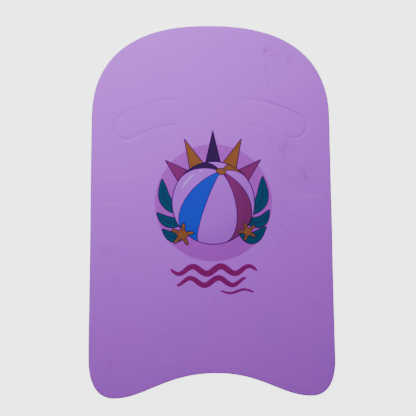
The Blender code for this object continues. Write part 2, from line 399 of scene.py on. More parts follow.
def relief(x, y, edge):
    """Height of the upper face against its plane, where edge is the distance from the outline."""
    calm = 1 - PRINT_CALM * under_print(x, y)
    z = waves(x, y, FACE_WAVES) + calm * waves(x, y, FACE_GRAIN)
    z = z + calm * crease(x, y, CREASE_STEEP, CREASE_SOFT)
    for dx, dy, radius, depth in DENTS:
        z = z - depth * bell(x, y, dx, dy, DENT_FALL * radius ** 2)
    z = z - FACE_EDGE[0] * np.exp(-edge / FACE_EDGE[1])
    for side in (-1, 1):
        gap = slot_distance(x, y, side)[0]
        z = z - GROOVE_DEPTH * cut_press(x, y, side) * np.exp(-(gap / GROOVE_WIDTH) ** 2)
        z = z - CUT_EDGE[0] * np.exp(-np.abs(gap) / CUT_EDGE[1])
    return z - RELIEF_DROP


def under_relief(x, y, edge):
    """Height of the lower face's hollows, upward, which keeps the face's high points on the floor."""
    z = sum(height * (1 + noise(x, y, size, seed)) for height, size, seed in UNDER_WAVES)
    z = z + waves(x, y, UNDER_GRAIN)
    z = z + UNDER_EDGE[0] * np.exp(-edge / UNDER_EDGE[1])
    for side in (-1, 1):
        gap = slot_distance(x, y, side)[0]
        press = UNDER_GROOVE_SHARE * GROOVE_DEPTH * cut_press(x, y, side)
        z = z + press * np.exp(-(gap / GROOVE_WIDTH) ** 2)
    return z


# Darker places on the upper face: where, radius and strength.
DARK_PLACES = (
    (0.087, 0.190, 0.011, 0.45),
    (0.097, 0.184, 0.006, 0.40),
    (0.106, 0.182, 0.007, 0.25),
    (0.068, 0.193, 0.006, 0.30),
    (0.076, 0.201, 0.009, 0.40),
    (0.088, 0.050, 0.009, 0.30),
    (0.093, 0.088, 0.008, 0.25),
    (0.089, 0.078, 0.008, 0.55),
    (0.076, 0.088, 0.006, 0.35),
    (0.100, 0.079, 0.005, 0.40),
    (0.082, 0.061, 0.010, 0.30),
    (0.116, 0.042, 0.008, 0.60),
    (0.103, 0.042, 0.013, 0.22),
    (0.090, 0.004, 0.012, 0.25),
    (0.088, -0.020, 0.014, 0.30),
    (0.085, -0.042, 0.008, 0.30),
    (0.112, -0.020, 0.016, 0.18),
    (-0.122, -0.182, 0.007, 0.30),
    (-0.131, -0.045, 0.006, 0.25),
    (-0.121, -0.048, 0.005, 0.30),
    (-0.116, -0.083, 0.005, 0.30),
    (-0.0656, 0.170, 0.006, 0.22),
    (-0.085, 0.060, 0.006, 0.22),
    (0.1305, -0.113, 0.006, 0.22),
    (-0.003, -0.134, 0.006, 0.20),
    (-0.056, -0.152, 0.010, 0.16),
)
# Rubbed places, in the same way.
PALE_PATCHES = (
    (-0.056, -0.170, 0.005, 0.60),
    (-0.055, -0.180, 0.006, 0.60),
    (-0.070, 0.206, 0.006, 0.35),
    (0.030, -0.150, 0.020, 0.10),
)
MOTTLE_MEAN = 0.6
MOTTLE = ((0.5, 0.006, 21), (0.4, 0.0028, 22))
DENT_PAINTED_SHADE = 4.0  # painted shade in the dents: darkening for a dent of 1 mm
# Painted shadow along the right slot's opened cut: its strength and its width.
OPEN_CUT_PAINTED_SHADOW = 0.75
OPEN_CUT_PAINTED_SHADOW_WIDTH = 0.6 * MM


def soil_and_painted_shade(x, y):
    """Darkening on the upper face, positive: the darker places, and painted shade in the dents and in the
    opened cut. Paling, negative: rubbed places, and a painted highlight along the creases.
    """
    total = np.zeros(x.shape)
    for spots, sign in ((DARK_PLACES, 1), (PALE_PATCHES, -1)):
        for sx, sy, radius, strength in spots:
            total = total + sign * strength * bell(x, y, sx, sy, radius ** 2)
    total = total * np.clip(waves(x, y, MOTTLE, MOTTLE_MEAN), 0, 1.6)
    # Painted shade in the dents, deeper dents darker.
    for dx, dy, radius, depth in DENTS:
        total = total + DENT_PAINTED_SHADE * depth / MM * bell(x, y, dx, dy, radius ** 2)
    # Painted shadow along the right slot's opened cut.
    gap = slot_distance(x, y, 1)[0]
    total = total + OPEN_CUT_PAINTED_SHADOW * opened_cut(x, y) * np.exp(-(gap / OPEN_CUT_PAINTED_SHADOW_WIDTH) ** 2)
    # Painted highlight along the creases, weaker under the print.
    crease_highlight = crease(x, y, CREASE_HIGHLIGHT_WIDTH, CREASE_HIGHLIGHT_WIDTH) / (0.1 * MM)
    return total - CREASE_PAINTED_HIGHLIGHT * crease_highlight * (1 - under_print(x, y))


# ---- meshes


def net(loops, step):
    """A net of points inside the loops, clear of their lines."""
    low, high = loops[0].min(axis=0), loops[0].max(axis=0)
    points = []
    for r, y in enumerate(np.arange(low[1], high[1], step * math.sqrt(0.75))):
        row = np.arange(low[0] + (step / 2 if r % 2 else 0), high[0], step)
        points.append(np.column_stack([row, np.full(len(row), y)]))
    points = np.vstack(points)
    points = points[inside(loops, points[:, 0], points[:, 1])]
    clear = nearest(np.vstack(loops), points[:, 0], points[:, 1]) > step * NET_MARGIN
    return points[clear]


def crease_points(loops):
    """Rows of points along the creases, and rings round the dents, fine enough to carry them."""
    rows = []
    for (ax, ay), (bx, by), *_ in CREASES:
        length = math.hypot(bx - ax, by - ay)
        ux, uy = (bx - ax) / length, (by - ay) / length
        along = np.arange(0, length, CREASE_ROW_STEP)
        for across in CREASE_ROWS:
            rows.append(np.column_stack([ax + ux * along - uy * across, ay + uy * along + ux * across]))
    for dx, dy, radius, _ in DENTS:
        for share, count in DENT_RINGS:
            turn = np.arange(count) * 2 * math.pi / count
            reach = share * radius
            rows.append(np.column_stack([dx + reach * np.cos(turn), dy + reach * np.sin(turn)]))
    points = np.vstack(rows)
    points = points[inside(loops, points[:, 0], points[:, 1])]
    return points[nearest(np.vstack(loops), points[:, 0], points[:, 1]) > NEAR_RINGS[-1] + ROW_MARGIN]


def fine_net(loops, signs):
    """A net with rings beside the loops and rows along the creases. signs turn the rings into the foam."""
    rings = [loop + sign * outward(loop) * gap for loop, sign in zip(loops, signs) for gap in NEAR_RINGS]
    extra = np.vstack(rings + [crease_points(loops)])
    points = net(loops, NET_STEP)
    clear = nearest(extra, points[:, 0], points[:, 1]) > EXTRA_MARGIN * NET_STEP
    return np.vstack([extra, points[clear]])


def triangulate(loops, inner):
    """Triangles inside the first loop and outside the rest. They index the loops' points, then inner."""
    edges, start = [], 0
    for loop in loops:
        edges += [(start + i, start + (i + 1) % len(loop)) for i in range(len(loop))]
        start += len(loop)
    points = np.vstack(loops + ([inner] if len(inner) else []))
    _, _, faces, origin, _, _ = delaunay_2d_cdt([Vector(p) for p in points / MM], edges, [], 1, 1e-5)
    index = np.array([o[0] for o in origin])
    triangles = index[np.array([f[:3] for f in faces])]
    middle = points[triangles].mean(axis=1)
    return triangles[inside(loops, middle[:, 0], middle[:, 1])]


def new_object(name, points, faces, material, values=None):
    mesh = bpy.data.meshes.new(name)
    mesh.from_pydata([tuple(p) for p in points], [], [tuple(int(i) for i in f) for f in faces])
    mesh.materials.append(material)
    for key, value in (values or {}).items():
        mesh.attributes.new(key, "FLOAT", "POINT").data.foreach_set("value", value.astype(np.float32))
    mesh.shade_smooth()
    obj = bpy.data.objects.new(name, mesh)
    bpy.context.scene.collection.objects.link(obj)
    return obj


def edge_profile(low, high, low_radius, high_radius, segments):
    """(inset, height, roundness) down an edge, from the upper face to the lower one."""
    rows = []
    for k in range(segments + 1):
        a = math.pi / 2 * k / segments
        rows.append((high_radius * (1 - math.sin(a)), high - high_radius * (1 - math.cos(a)), math.cos(a)))
    for k in range(1, WALL_STEPS):
        drop = (low + low_radius - high + high_radius) * k / WALL_STEPS
        rows.append((0.0, high - high_radius + drop, 0.0))
    for k in range(segments + 1):
        a = math.pi / 2 * (1 - k / segments)
        rows.append((low_radius * (1 - math.sin(a)), low + low_radius * (1 - math.cos(a)), math.cos(a)))
    return rows


def wall_bow(height, x, y):
    """How far a die-cut wall is drawn in: most at half height, with an uneven cut."""
    share = 1 - ((height - TOP / 2) / (TOP / 2)) ** 2
    uneven = 0.5 + 0.5 * noise(x + y, np.full(x.shape, height) * 2 + x - y, 0.009, 31)
    return WALL_DRAW * share + WALL_UNEVEN * uneven


def slab(name, material, low, high, outer, holes, radii, faces_fine, heights, rim):
    """A closed foam layer between two heights.

    radii are the edges' (outer low, outer high, hole low, hole high). faces_fine and heights are for the
    lower and the upper face. rim says that the outer wall is the board's own, which is bowed and worn.
    """
    points, faces, cut, wear, ends = [], [], [], [], []
    total = 0
    for number, loop in enumerate([outer] + holes):
        normals = outward(loop)
        sign = -1 if number == 0 else 1
        on_rim = rim and number == 0
        low_radius, high_radius = radii[0:2] if number == 0 else radii[2:4]
        segments = RIM_SEGMENTS if max(low_radius, high_radius) > MM else SEAM_SEGMENTS
        rows = edge_profile(low, high, low_radius, high_radius, segments)
        count = len(loop)
        for inset, height, roundness in rows:
            shift = inset + (wall_bow(height, loop[:, 0], loop[:, 1]) if on_rim else np.zeros(count))
            ring = loop + sign * normals * shift[:, None]
            points.append(np.column_stack([ring, np.full(count, height)]))
            cut.append(np.full(count, 1 - roundness))
            worn = roundness if roundness < 1 else 0.6
            wear.append(np.full(count, worn if on_rim else 0.0))
        for r in range(len(rows) - 1):
            a, b = total + r * count, total + (r + 1) * count
            for i in range(count):
                j = (i + 1) % count
                quad = (a + i, a + j, b + j, b + i)
                faces.append(quad if number == 0 else quad[::-1])
        ends.append((total, total + (len(rows) - 1) * count, count))
        total += len(rows) * count
    rings = np.vstack(points)
    for top, fine in ((True, faces_fine[1]), (False, faces_fine[0])):
        starts = [(first if top else last, count) for first, last, count in ends]
        loops = [rings[s:s + count, :2] for s, count in starts]
        inner = fine_net(loops, [-1] + [1] * len(holes)) if fine else net(loops, PLAIN_NET_STEP)
        table = np.concatenate([np.arange(s, s + count) for s, count in starts]
                               + [np.arange(total, total + len(inner))])
        for triangle in table[triangulate(loops, inner)]:
            faces.append(triangle if top else triangle[::-1])
        points.append(np.column_stack([inner, np.full(len(inner), high if top else low)]))
        cut.append(np.zeros(len(inner)))
        wear.append(np.zeros(len(inner)))
        total += len(inner)
    points = np.vstack(points)
    x, y, z = points.T
    edge = nearest(OUTLINE, x, y)
    middle = (low + high) / 2
    if heights[1]:
        points[:, 2] = z + heights[1](x, y, edge) * step_up(z, middle, high)
    if heights[0]:
        points[:, 2] = points[:, 2] + heights[0](x, y, edge) * (1 - step_up(z, low, middle))
    upper = step_up(z, middle, high) if heights[1] else np.zeros(len(z))
    points[:, :2] = shifted(points[:, :2])
    return new_object(name, points, faces, material, {
        "cut": np.concatenate(cut),
        "wear": np.concatenate(wear),
        "soil_and_painted_shade": soil_and_painted_shade(x, y) * upper,
    })


def facing_up(points, triangles):
    """The same triangles, each turned to face up."""
    a, b, c = (points[triangles[:, k]] for k in range(3))
    area = (b[:, 0] - a[:, 0]) * (c[:, 1] - a[:, 1]) - (b[:, 1] - a[:, 1]) * (c[:, 0] - a[:, 0])
    return np.where((area < 0)[:, None], triangles[:, ::-1], triangles)


def film(name, outline, layer, material, step=FILM_STEP):
    """A thin flat piece of print inside an outline, which follows the foam."""
    inner = net([outline], step)
    flat = np.vstack([outline] + ([inner] if len(inner) else []))
    return film_mesh(name, flat, facing_up(flat, triangulate([outline], inner)), layer, material)


def film_mesh(name, flat, polygons, layer, material):
    """Gives polygons in the plane a thickness, on the foam and this many layers above it."""
    polygons = [tuple(polygon) for polygon in polygons]
    count = len(flat)
    foam = TOP - FACE_DROP + relief(flat[:, 0], flat[:, 1], np.full(count, PRINT_EDGE_DISTANCE))
    high = foam + layer * LAYER
    low = high - FILM_THICKNESS
    border = {}
    for polygon in polygons:
        for a, b in zip(polygon, polygon[1:] + polygon[:1]):
            if (b, a) in border:
                del border[(b, a)]
            else:
                border[(a, b)] = True
    faces = polygons + [tuple(i + count for i in reversed(polygon)) for polygon in polygons]
    faces += [(b, a, a + count, b + count) for a, b in border]
    moved = shifted(flat)
    points = np.vstack([np.column_stack([moved, high]), np.column_stack([moved, low])])
    obj = new_object(name, points, faces, material)
    obj.data.set_sharp_from_angle(angle=SHARP_ANGLE)
    return obj


def ribbon(line, width, closed, taper):
    """Points and quads of a flat line of this width. With taper, that share of each end thins to a point."""
    across = outward(line) if closed else left_of(np.gradient(line, axis=0))
    t = np.linspace(0, 1, len(line))
    half = np.full(len(line), width / 2)
    if taper:
        half = half * np.clip(np.minimum(t, 1 - t) / taper, TAPER_TIP, 1) ** TAPER_POWER
    count = len(line)
    flat = np.vstack([line + across * half[:, None], line - across * half[:, None]])
    last = count if closed else count - 1
    quads = [(i, i + count, (i + 1) % count + count, (i + 1) % count) for i in range(last)]
    return flat, quads


def ribbons(name, lines, layer, material):
    """Several lines as one flat piece. Each is (points, width, closed, taper)."""
    flats, faces, start = [], [], 0
    for line, width, closed, taper in lines:
        flat, quads = ribbon(line, width, closed, taper)
        flats.append(flat)
        faces += [tuple(i + start for i in q) for q in quads]
        start += len(flat)
    return film_mesh(name, np.vstack(flats), faces, layer, material)


# ---- materials


class Nodes:
    """Short calls for wiring one material."""

    def __init__(self, name):
        self.material = bpy.data.materials.new(name)
        self.material.use_nodes = True
        self.tree = self.material.node_tree
        self.shader = self.tree.nodes["Principled BSDF"]
        self.place = self.add("TexCoord").outputs["Object"]

    def add(self, kind, **settings):
        node = self.tree.nodes.new("ShaderNode" + kind)
        for key, value in settings.items():
            setattr(node, key, value)
        return node

    def feed(self, socket, value):
        if isinstance(value, bpy.types.NodeSocket):
            self.tree.links.new(value, socket)
        elif hasattr(value, "__len__"):
            socket.default_value = value[:len(socket.default_value)]
        else:
            socket.default_value = value

    def give(self, node, **inputs):
        """Feeds a node's inputs by name, with _ for each space."""
        for key, value in inputs.items():
            self.feed(node.inputs[key.replace("_", " ")], value)

    def fill(self, node, *values):
        """Feeds a node's first inputs, in order."""
        for socket, value in zip(node.inputs, values):
            self.feed(socket, value)
        return node.outputs[0]

    def math(self, operation, a, b=0.0, c=0.0, clamp=False):
        return self.fill(self.add("Math", operation=operation, use_clamp=clamp), a, b, c)

    def stretched(self, scale):
        return self.fill(self.add("VectorMath", operation="MULTIPLY"), self.place, scale)

    def noise(self, size, detail=2.0, stretch=None, rough=0.5):
        """Noise with features of about this size, centred on 0."""
        node = self.add("TexNoise", noise_dimensions="3D")
        place = self.stretched(stretch) if stretch else self.place
        self.give(node, Vector=place, Scale=1 / size, Detail=detail, Roughness=rough)
        return self.math("SUBTRACT", node.outputs["Fac"], 0.5)

    def cells(self, size, stretch=None):
        """Distance from the middle of rounded cells of this size, 0 to about 1."""
        node = self.add("TexVoronoi", feature="SMOOTH_F1")
        place = self.stretched(stretch) if stretch else self.place
        self.give(node, Vector=place, Scale=1 / size, Smoothness=0.4)
        return node.outputs["Distance"]

    def attribute(self, name):
        return self.add("Attribute", attribute_name=name).outputs["Fac"]

    def mix(self, share, a, b):
        node = self.add("Mix", data_type="RGBA")
        self.give(node, Factor=share, A=a, B=b)
        return node.outputs["Result"]

    def scaled(self, colour, factor):
        node = self.add("VectorMath", operation="SCALE")
        self.feed(node.inputs[0], colour)
        self.feed(node.inputs["Scale"], factor)
        return node.outputs[0]

    def total(self, start, *terms):
        """start plus each (value, weight)."""
        result = start
        for value, weight in terms:
            result = self.math("MULTIPLY_ADD", value, weight, result)
        return result

    def range(self, value, low, high, to_low=0.0, to_high=1.0):
        node = self.add("MapRange", interpolation_type="SMOOTHSTEP")
        self.give(node, Value=value, From_Min=low, From_Max=high, To_Min=to_low, To_Max=to_high)
        return node.outputs[0]

    def bump(self, height, depth):
        node = self.add("Bump")
        self.give(node, Strength=1.0, Distance=depth, Height=height)
        self.give(self.shader, Normal=node.outputs["Normal"])


def rgb(colour):
    return (*colour, 1.0)


def changed(colour, factors):
    return rgb(part * factor for part, factor in zip(colour, factors))


# What each state of the foam does to its skin's red, green and blue.
CLOUDED = (1.02, 0.985, 0.99)
# The soiled colour also paints shade into the dents and the opened cut, and the paled colour paints a
# highlight along the creases.
SOILED_AND_SHADED = (0.42, 0.45, 0.36)
RUBBED_AND_LIT = (1.6, 2.2, 1.16)
WORN = (1.15, 1.25, 1.08)
GRAIN_SIZE = 1.1 * MM
SKIN_CELL = 1.0 * MM
OPEN_CELL = 0.8 * MM
FOAM_BUMP = 0.05 * MM
INK_BUMP = 0.035 * MM
FOAM_ROUGHNESS = 0.66
INK_ROUGHNESS = 0.46
FOAM_SPECULAR = 0.50
INK_SPECULAR = 0.06


def foam_material(name, skin, cut_face):
    """Closed-cell foam: a fine moulded skin on the faces, and open cut cells on the walls."""
    n = Nodes(name)
    cut, wear, soil_and_shade = (n.attribute(key) for key in ("cut", "wear", "soil_and_painted_shade"))
    cloud = n.noise(0.090, 2)
    patch = n.noise(0.014, 3)
    rub = n.noise(0.007, 4, stretch=(1.0, 0.16, 1.0), rough=0.6)
    grain = n.noise(GRAIN_SIZE, 3, rough=0.6)
    cells = n.cells(SKIN_CELL)
    open_cells = n.cells(OPEN_CELL, stretch=(1.0, 1.0, 0.8))
    knife = n.noise(0.0012, 2, stretch=(1.0, 1.0, 0.05))

    tone = n.total(1.0, (cloud, 0.035), (patch, 0.045), (rub, 0.035), (grain, 0.07))
    skin_colour = n.mix(n.range(cloud, -0.2, 0.2), rgb(skin), changed(skin, CLOUDED))
    specks = n.range(n.noise(0.0026, 3, rough=0.7), -0.11, 0.15, 0.25, 1.75)
    # The darkening attribute mixes dirt with painted shade in the dents and the opened cut; its negative
    # part mixes rubbed places with a painted highlight along the creases.
    speckled = n.math("MULTIPLY", n.math("MAXIMUM", soil_and_shade, 0.0), specks)
    tinted = n.mix(n.math("MULTIPLY", speckled, 0.50, clamp=True), skin_colour, changed(skin, SOILED_AND_SHADED))
    rubbed_and_lit = n.math("MULTIPLY", n.math("MINIMUM", soil_and_shade, 0.0), -0.45, clamp=True)
    paled = n.mix(rubbed_and_lit, tinted, changed(skin, RUBBED_AND_LIT))
    pits = n.range(open_cells, 0.15, 0.65)
    cut_tone = n.total(0.90, (pits, 0.16), (knife, 0.12))
    cut_share = n.math("MULTIPLY", n.math("MULTIPLY", cut, cut), 0.9)
    colour = n.mix(cut_share, n.scaled(paled, tone), n.scaled(rgb(cut_face), cut_tone))
    worn = n.math("MULTIPLY", wear, n.range(patch, -0.15, 0.25, 0.02, 0.16))
    roughness = n.total(FOAM_ROUGHNESS, (patch, 0.10), (rub, 0.10), (cut, 0.20), (soil_and_shade, 0.06))
    n.give(n.shader, Base_Color=n.mix(worn, colour, changed(skin, WORN)), Roughness=roughness,
           Specular_IOR_Level=FOAM_SPECULAR)
    fine = n.total(0.0, (cells, -0.45), (grain, 0.8), (n.noise(0.004, 2), 1.2))
    rough_cut = n.total(0.0, (pits, 2.4), (knife, 2.0))
    height = n.math("MULTIPLY_ADD", n.math("SUBTRACT", rough_cut, fine), cut_share, fine)
    n.bump(height, FOAM_BUMP)
    return n.material


def ink(name, colour, ball_shade=False):
    """Printed film: a flat colour with a little of the foam's grain and a slight sheen.

    With ball_shade, it darkens from the ball's upper left to its lower right.
    """
    n = Nodes(name)
    mottle = n.noise(0.006, 3)
    grain = n.noise(GRAIN_SIZE, 3, rough=0.6)
    cells = n.cells(SKIN_CELL)
    tone = n.total(1.0, (mottle, 0.06), (grain, 0.10))
    if ball_shade:
        offset = n.add("VectorMath", operation="DISTANCE")
        n.fill(offset, n.place, (BADGE[0] - 0.30 * BALL_RADIUS, BADGE[1] + 0.32 * BALL_RADIUS, TOP))
        shade = n.range(offset.outputs["Value"], 0.75 * BALL_RADIUS, 1.40 * BALL_RADIUS, 0.0, -0.15)
        tone = n.math("ADD", tone, shade)
    n.give(n.shader, Base_Color=n.scaled(rgb(colour), tone),
           Roughness=n.total(INK_ROUGHNESS, (mottle, 0.12)), Specular_IOR_Level=INK_SPECULAR)
    n.bump(n.total(0.0, (cells, -0.3), (grain, 0.6), (n.noise(0.004, 2), 1.2)), INK_BUMP)
    return n.material


FOAM_SKIN = (0.425, 0.045, 0.800)
FOAM_CUT = (0.445, 0.075, 0.810)
INK = {
    "pink": (0.355, 0.043, 0.545),
    "lilac": (0.410, 0.072, 0.760),
    "teal": (0.001, 0.045, 0.115),
    "amber": (0.210, 0.071, 0.022),
    "plum": (0.027, 0.005, 0.061),
    "magenta": (0.170, 0.013, 0.134),
    "blue": (0.008, 0.034, 0.560),
    "line": (0.010, 0.005, 0.037),
    "stroke": (0.185, 0.001, 0.116),
    "glint": (0.520, 0.200, 0.900),
}


# ---- foam layers

foams = {"skin": foam_material("foam skin", FOAM_SKIN, FOAM_CUT),
         "core": foam_material("foam core", FOAM_CUT, FOAM_CUT)}


def add_piece(obj, body, slot_name, *nodes):
    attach(obj, body)
    if nodes:
        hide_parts(*nodes)


def face_relief(x, y, edge):
    return relief(x, y, edge) - FACE_DROP


def plug_relief(side):
    """The plug's upper face: it follows the board's, but sits a little low, most at its upper outer edge."""
    def height(x, y, edge):
        along = slot_distance(x, y, side)[1]
        upward = np.hypot(side * x - SLOT_INNER_X, y - SLOT_TOP_Y + SLOT_BEND_RADIUS) - SLOT_BEND_RADIUS
        tilt = PLUG_TILT[side] * (0.2 + 0.8 * along) * (0.5 + upward / SLOT_HALF_WIDTH / 2)
        return face_relief(x, y, edge) - PLUG_DROP - tilt
    return height


def plug_outline(side, layer_name):
    """Nearly the slot's own outline, drawn in where the cut has opened. The core is squeezed by its slot."""
    loop = SLOTS[side]
    if layer_name == "core":
        return loop + outward(loop) * CORE_SQUEEZE
    gap = CUT_GAP + CUT_OPENING * opened_cut(loop[:, 0], loop[:, 1])
    return loop - outward(loop) * gap[:, None]


def add_layer(layer_name, node, body, outline, holes, upper_face):
    """One foam layer, in place of the CAD model's. Those with holes are the board's, with its rim."""
    low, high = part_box(node)[0].z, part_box(node)[1].z
    seen = (layer_name == "bottom", layer_name == "top")
    kind = "core" if layer_name == "core" else "skin"
    radii = [radius if face_seen else SEAM_RADIUS
             for radius in (RIM_RADIUS if holes else LIP_RADIUS, LIP_RADIUS) for face_seen in seen]
    heights = (under_relief if seen[0] else None, upper_face if seen[1] else None)
    layer = slab("foam_" + node, foams[kind], low, high, outline, holes, radii, seen, heights, bool(holes))
    add_piece(layer, body, "foam_" + kind, node)


LAYERS = ("bottom", "core", "top")
for layer_name in LAYERS:
    add_layer(layer_name, layer_name + "_sheet", "board", OUTLINE, [SLOTS[-1], SLOTS[1]], face_relief)
for side, word in ((-1, "left"), (1, "right")):
    for layer_name in LAYERS:
        add_layer(layer_name, f"{word}_plug_{layer_name}", word + "_plug",
                  plug_outline(side, layer_name), [], plug_relief(side))


# ---- print

inks = {key: ink("ink " + key, value) for key, value in INK.items()}
BALL_COLOURS = ("lilac", "amber", "magenta", "blue", "plum")
ball_inks = {key: ink("ball " + key, INK[key], ball_shade=True) for key in BALL_COLOURS}
# Heights of the print's parts above the foam, in layers.
FLAT, SHAPES, SHAPE_LINES, BALL, BALL_LINES, STARS, STAR_LINES = 1, 2, 3, 4, 5, 6, 7


def add_print(obj, *nodes, slot_name="print_pink"):
    add_piece(obj, "board", slot_name, *nodes)


def polar(radius, degrees):
    a = np.radians(degrees)
    return np.column_stack([BADGE[0] + radius * np.sin(a), BADGE[1] + radius * np.cos(a)])


def smooth_line(points, step, closed=False, samples=24):
    """A smooth line through points given in millimetres from the badge's centre."""
    p = np.array(points, float) * MM + BADGE
    pts = np.vstack([p[-1:], p, p[:2]]) if closed else np.vstack([2 * p[0] - p[1], p, 2 * p[-1] - p[-2]])
    out = []
    for a, b, c, d in zip(pts, pts[1:], pts[2:], pts[3:]):
        for t in np.linspace(0, 1, samples, endpoint=False):
            out.append(0.5 * (2 * b + (c - a) * t + (2 * a - 5 * b + 4 * c - d) * t * t
                              + (3 * b - a - 3 * c + d) * t ** 3))
    if not closed:
        out.append(p[-1])
    return resample(np.array(out), step, closed)


disc_outline = polar(BADGE_RADIUS, np.arange(0, 360, 2.0))
add_print(film("print_disc", disc_outline, FLAT, inks["pink"]), "printed_badge")

RAY_COLOURS = ("magenta", "amber", "plum", "amber", "magenta")
# The rays' patches are this much smaller than the CAD model's rays, and the dark lines fill the rest.
RAY_TIP_TRIM = 0.3 * MM
RAY_SIDE_TRIM = 0.8 * MM
RAY_LAP = 4 * MM  # how far the rays run in under the ball


def ray_outline(degrees, tip, half_width):
    """A pointed ray from under the ball to its tip."""
    a = math.radians(degrees)
    ux, uy = math.sin(a), math.cos(a)
    root = RAY_ROOT_RADIUS - RAY_LAP
    spread = half_width * (tip - root) / (tip - RAY_ROOT_RADIUS)
    corners = [(root, -spread), (tip, 0.0), (root, spread)]
    points = [(BADGE[0] + r * ux + w * uy, BADGE[1] + r * uy - w * ux) for r, w in corners]
    return resample(np.array(points), 1.6 * MM)


ray_lines = []
for place, colour in enumerate(RAY_COLOURS, -2):
    tip = RAY_TIP_RADIUS - RAY_TIP_DROP * place ** 2 - RAY_TIP_TRIM
    outline = ray_outline(RAY_SPACING * place, tip, RAY_ROOT_HALF_WIDTH - RAY_SIDE_TRIM)
    add_print(film(f"print_ray_{place + 3}", outline, SHAPES, inks[colour]))
    ray_lines.append((outline, OUTLINE_WIDTH, True, 0.0))
add_print(ribbons("print_ray_lines", ray_lines, SHAPE_LINES, inks["line"]))


# Leaves behind the ball: points along each midrib from the badge's centre, and half width, in millimetres.
LEAVES = (
    ("left_1", ((-40, -14), (-58, 4), (-62, 30)), 8.0),
    ("left_2", ((-36, -24), (-56, -22), (-69, -11)), 7.5),
    ("left_3", ((-30, -32), (-48, -41), (-63, -31)), 7.5),
    ("right_1", ((40, -16), (58, 2), (60, 32)), 8.5),
    ("right_2", ((37, -23), (57, -23), (68, -9)), 7.5),
    ("right_3", ((29, -33), (47, -43), (64, -29)), 8.0),
)
LEAF_STEP = 1.2 * MM
LEAF_NARROWING = 0.25  # from root to tip
MIDRIB_WIDTH = 0.7 * MM
leaf_lines = []
for word, midrib, half_width in LEAVES:
    line = smooth_line(midrib, LEAF_STEP)
    t = np.linspace(0, 1, len(line))
    across = left_of(np.gradient(line, axis=0))
    half = half_width * MM * np.sin(math.pi * t).clip(0) ** 0.8 * (1 - LEAF_NARROWING * t)
    outline = np.vstack([line + across * half[:, None], (line - across * half[:, None])[-2:0:-1]])
    outline = resample(outline, LEAF_STEP)
    add_print(film("print_leaf_" + word, outline, SHAPES, inks["teal"]))
    leaf_lines.append((outline, OUTLINE_WIDTH, True, 0.0))
    leaf_lines.append((line[:-4], MIDRIB_WIDTH, False, 0.25))
add_print(ribbons("print_leaf_lines", leaf_lines, SHAPE_LINES, inks["line"]))


# The ball: gores between meridians of a sphere whose pole is turned upward.
POLE_TILT = math.radians(52)
POLE_TURN = math.radians(76)
CAP_ANGLE = math.radians(7)
FIRST_GORE = math.radians(-14)
GORES = (  # colour, and width in degrees
    ("lilac", 52), ("amber", 38), ("lilac", 56), ("plum", 36),
    ("lilac", 54), ("blue", 36), ("lilac", 54), ("magenta", 34),
)
BALL_LINE_WIDTH = 0.8 * MM
BALL_RIM_WIDTH = 1.0 * MM
pole = np.array([math.sin(POLE_TILT) * math.cos(POLE_TURN), math.sin(POLE_TILT) * math.sin(POLE_TURN),
                 math.cos(POLE_TILT)])
first = np.cross(pole, (0.0, 0.0, 1.0))
first /= np.linalg.norm(first)
second = np.cross(pole, first)


def on_ball(longitude, colatitude):
    ring = np.cos(longitude)[:, None] * first + np.sin(longitude)[:, None] * second
    place = np.cos(colatitude)[:, None] * pole + np.sin(colatitude)[:, None] * ring
    return np.array(BADGE) + BALL_RADIUS * place[:, :2]


def horizon(longitude):
    """The colatitude at which a meridian runs over the ball's edge."""
    facing = first[2] * np.cos(longitude) + second[2] * np.sin(longitude)
    return np.arctan2(pole[2], -facing)


def meridian(longitude):
    same = np.full(CURVE_POINTS, longitude)
    return on_ball(same, np.linspace(CAP_ANGLE, float(horizon(same)[0]), CURVE_POINTS))


def gore_outline(start, end):
    """The ball's surface between two meridians, from the cap to the ball's edge."""
    span = np.linspace(start, end, CURVE_POINTS)
    sides = (meridian(start), on_ball(span, horizon(span)), meridian(end)[::-1],
             on_ball(span[::-1], np.full(CURVE_POINTS, CAP_ANGLE)))
    return np.vstack([resample(side, LINE_STEP, closed=False)[:-1] for side in sides])


ball_lines = []
start = FIRST_GORE
for k, (colour, width) in enumerate(GORES):
    end = start + math.radians(width)
    add_print(film(f"print_gore_{k + 1}", gore_outline(start, end), BALL, ball_inks[colour]))
    ball_lines.append((resample(meridian(start), LINE_STEP, closed=False), BALL_LINE_WIDTH, False, 0.0))
    start = end
turn = np.linspace(0, 2 * math.pi, CURVE_POINTS, endpoint=False)
cap_ring = on_ball(turn, np.full(CURVE_POINTS, CAP_ANGLE))
add_print(film("print_ball_cap", resample(cap_ring, LINE_STEP), BALL, inks["amber"], SMALL_FILM_STEP))
ball_lines.append((cap_ring, BALL_LINE_WIDTH, True, 0.0))
ball_lines.append((polar(BALL_RADIUS, np.arange(0, 360, 1.5)), BALL_RIM_WIDTH, True, 0.0))
add_print(ribbons("print_ball_lines", ball_lines, BALL_LINES, inks["line"]))
GLINTS = ((41.5, -66, -30, 2.6), (41.5, -24, -18, 2.4))  # radius, start and end in degrees, and width
glint_lines = []
for radius, start, end, width in GLINTS:
    line = resample(polar(radius * MM, np.linspace(start, end, 40)), FINE_LINE, closed=False)
    glint_lines.append((line, width * MM, False, 0.3))
add_print(ribbons("print_ball_glints", glint_lines, BALL_LINES, inks["glint"]))

